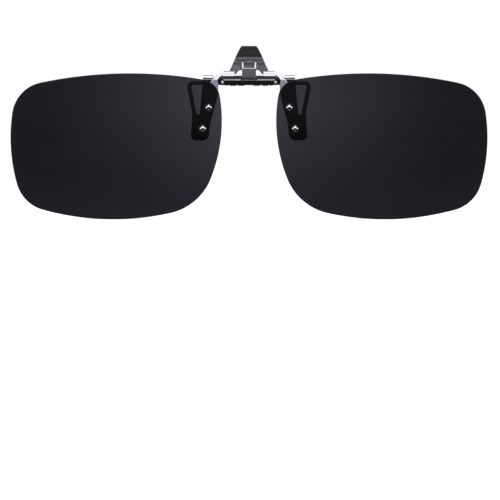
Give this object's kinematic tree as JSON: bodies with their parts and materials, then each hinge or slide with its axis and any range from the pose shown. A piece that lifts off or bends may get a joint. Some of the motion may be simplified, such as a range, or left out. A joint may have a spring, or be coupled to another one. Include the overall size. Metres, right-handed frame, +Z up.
{
  "type": "clip on sunglasses",
  "caption": "Rimless flip-up clip on sunglasses: smoke lenses on steel arms hinged to a spring clamp with a pinch lever and rubber-tipped claws that grip eyeglass lenses.",
  "frame": {"origin": "the grip point: on the centre plane, where the front and rear pads meet with the jaws closed, halfway up the pads", "axes": "-Y is forward, out of the lens fronts; +X is to the right when the lens fronts are looked at, which is the wearer's left; +Z is up"},
  "size_m": [0.1352, 0.0122, 0.049],
  "materials": {
    "smoke_lens": "polished smoke grey polarised plastic, slightly see-through",
    "polished_steel": "polished stainless steel strip",
    "black_rivet": "glossy black domed rivets",
    "clear_washer": "thin clear nylon",
    "black_enamel": "gloss black enamel on steel",
    "gunmetal": "brushed gunmetal plating",
    "spring_steel": "plain spring steel",
    "satin_black": "satin black moulded plastic",
    "black_wire": "black plated spring wire",
    "rubber": "soft matte black rubber"
  },
  "bodies": {
    "clip_base": {"base_plate": "black_enamel", "hinge_barrels": "polished_steel", "bar_cover": "black_enamel", "front_tab": "gunmetal", "friction_leaf": "spring_steel", "cover_rivets": "spring_steel", "jaw_pin": "spring_steel", "torsion_spring_left": "spring_steel", "torsion_spring_right": "spring_steel", "front_pad_left": "rubber", "front_pad_right": "rubber"},
    "rear_jaw": {"release_lever": "gunmetal", "lever_cap": "satin_black", "rear_claw_left": "black_wire", "rear_claw_right": "black_wire", "rear_pad_left": "rubber", "rear_pad_right": "rubber"},
    "lens_flip": {"bridge_rod": "polished_steel", "lens_arm_left": "polished_steel", "lens_arm_right": "polished_steel", "lens_left": "smoke_lens", "lens_right": "smoke_lens", "lens_rivets_left": "black_rivet", "lens_rivets_right": "black_rivet", "lens_washers_left": "clear_washer", "lens_washers_right": "clear_washer"}
  },
  "joints": [
    {"name": "jaw", "type": "hinge", "parent": "clip_base", "child": "rear_jaw", "pos_m": [0, -0.00093, 0.0129], "axis": [1, 0, 0], "range_deg": [0, 25], "stiffness_Nm_per_rad": 0.02, "springref_deg": -45.84, "deforming": ["torsion_spring_left", "torsion_spring_right"]},
    {"name": "flip", "type": "hinge", "parent": "clip_base", "child": "lens_flip", "pos_m": [0, -0.0025, 0.01475], "axis": [-1, 0, 0], "range_deg": [0, 132]}
  ]
}
